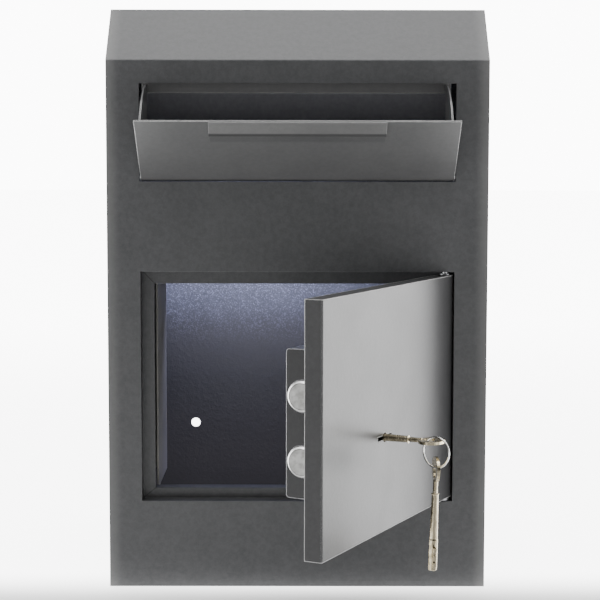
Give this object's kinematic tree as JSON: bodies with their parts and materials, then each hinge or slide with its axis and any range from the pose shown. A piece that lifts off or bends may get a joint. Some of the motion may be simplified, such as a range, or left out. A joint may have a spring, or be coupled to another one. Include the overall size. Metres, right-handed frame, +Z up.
{
  "type": "drop safe with deposit hopper",
  "caption": "Folded-steel drop safe: a tilting deposit hopper in a slot above a hinged, key-locked door with sliding bolts; a key, ring and spare key hang from the lock.",
  "frame": {"origin": "middle of the underside, on the base plate", "axes": "+X to the right seen from the front, +Y from the front to the back, +Z up"},
  "size_m": [0.35, 0.5451, 0.5377],
  "materials": {
    "body_paint": "dark grey satin powder coat with a fine texture",
    "door_paint": "dark grey satin powder coat",
    "hopper_paint": "dark grey satin powder coat",
    "lock_box_paint": "black satin coat",
    "zinc_steel": "zinc plated",
    "bolt_steel": "turned and polished",
    "lever_brass": "stamped",
    "key_nickel": "nickel plated, a little worn",
    "ring_wire": "bright plated"
  },
  "bodies": {
    "cabinet_body": {"front_wrap": "body_paint", "side_panel_left": "body_paint", "side_panel_right": "body_paint", "back_panel": "body_paint", "base_plate": "body_paint", "door_stop_frame": "body_paint", "bolt_pocket_liner": "body_paint", "hinge_bracket_upper": "body_paint", "hinge_bracket_lower": "body_paint", "hopper_bracket_left": "body_paint", "hopper_bracket_right": "body_paint", "anti_fishing_baffle": "body_paint", "hinge_pin_upper": "zinc_steel", "hinge_pin_lower": "zinc_steel", "hinge_thrust_washer": "zinc_steel"},
    "door_body": {"door_skin": "door_paint", "door_back_plate": "door_paint", "lock_box": "lock_box_paint", "hinge_bush_upper": "zinc_steel", "hinge_bush_lower": "zinc_steel", "lock_plate": "zinc_steel", "lock_cover": "zinc_steel", "lever_post": "zinc_steel", "carriage_guide_pin": "zinc_steel", "lock_post_1": "zinc_steel", "lock_post_2": "zinc_steel", "lock_post_3": "zinc_steel", "lock_post_4": "zinc_steel", "lock_box_screw_1": "zinc_steel", "lock_box_screw_2": "zinc_steel", "lock_box_screw_3": "zinc_steel", "lock_box_screw_4": "zinc_steel"},
    "hopper_body": {"hopper_flap": "hopper_paint", "hopper_cheek_left": "hopper_paint", "hopper_cheek_right": "hopper_paint", "hopper_stop_bar": "hopper_paint", "hopper_pull_lip": "hopper_paint", "hopper_pivot_rod": "zinc_steel"},
    "bolt_body": {"bolt_carriage": "zinc_steel", "bolt_lower": "bolt_steel", "bolt_upper": "bolt_steel", "bolt_screw_lower": "zinc_steel", "bolt_screw_upper": "zinc_steel"},
    "lever_body_1": {"lever_1": "lever_brass"},
    "lever_body_2": {"lever_2": "lever_brass"},
    "lever_body_3": {"lever_3": "lever_brass"},
    "lever_body_4": {"lever_4": "lever_brass"},
    "lever_body_5": {"lever_5": "lever_brass"},
    "key_body": {"key": "key_nickel"},
    "key_ring_body": {"key_ring": "ring_wire"},
    "spare_key_body": {"spare_key": "key_nickel"}
  },
  "joints": [
    {"name": "door_hinge", "type": "hinge", "parent": "cabinet_body", "child": "door_body", "pos_m": [0.1368, -0.14275, 0.1885], "axis": [0, 0, 1], "range_deg": [-63.6, 28.4]},
    {"name": "hopper_tilt", "type": "hinge", "parent": "cabinet_body", "child": "hopper_body", "pos_m": [0, -0.1464, 0.3818], "axis": [1, 0, 0], "range_deg": [-51.8, 0]},
    {"name": "key_turn", "type": "hinge", "parent": "door_body", "child": "key_body", "pos_m": [0.07393, -0.2857, 0.1655], "axis": [-0.8957, 0.4446, 0], "range_deg": [0, 270]},
    {"name": "bolt_slide", "type": "slide", "parent": "door_body", "child": "bolt_body", "axis": [-0.4446, -0.8957, 0], "range_m": [0, 0.022]},
    {"name": "lever_1_lift", "type": "hinge", "parent": "door_body", "child": "lever_body_1", "pos_m": [0.06506, -0.24736, 0.188], "axis": [-0.8957, 0.4446, 0], "range_deg": [0, 4], "stiffness_Nm_per_rad": 0.05, "springref_deg": -5.73},
    {"name": "lever_2_lift", "type": "hinge", "parent": "door_body", "child": "lever_body_2", "pos_m": [0.0621, -0.24589, 0.188], "axis": [-0.8957, 0.4446, 0], "range_deg": [0, 4], "stiffness_Nm_per_rad": 0.05, "springref_deg": -5.73},
    {"name": "lever_3_lift", "type": "hinge", "parent": "door_body", "child": "lever_body_3", "pos_m": [0.05914, -0.24443, 0.188], "axis": [-0.8957, 0.4446, 0], "range_deg": [0, 4], "stiffness_Nm_per_rad": 0.05, "springref_deg": -5.73},
    {"name": "lever_4_lift", "type": "hinge", "parent": "door_body", "child": "lever_body_4", "pos_m": [0.05619, -0.24296, 0.188], "axis": [-0.8957, 0.4446, 0], "range_deg": [0, 4], "stiffness_Nm_per_rad": 0.05, "springref_deg": -5.73},
    {"name": "lever_5_lift", "type": "hinge", "parent": "door_body", "child": "lever_body_5", "pos_m": [0.05323, -0.24149, 0.188], "axis": [-0.8957, 0.4446, 0], "range_deg": [0, 4], "stiffness_Nm_per_rad": 0.05, "springref_deg": -5.73},
    {"name": "key_ring_swing", "type": "hinge", "parent": "key_body", "child": "key_ring_body", "pos_m": [0.11541, -0.30786, 0.1655], "axis": [-0.7727, 0.6347, 0], "range_deg": [-20, 20]},
    {"name": "spare_key_swing", "type": "hinge", "parent": "key_ring_body", "child": "spare_key_body", "pos_m": [0.11541, -0.30786, 0.1439], "axis": [-0.7727, 0.6347, 0], "range_deg": [-25, 25]}
  ],
  "couplings": [
    {"joint": "key_turn", "follows": "bolt_slide", "rad_per_m": 214.19}
  ]
}
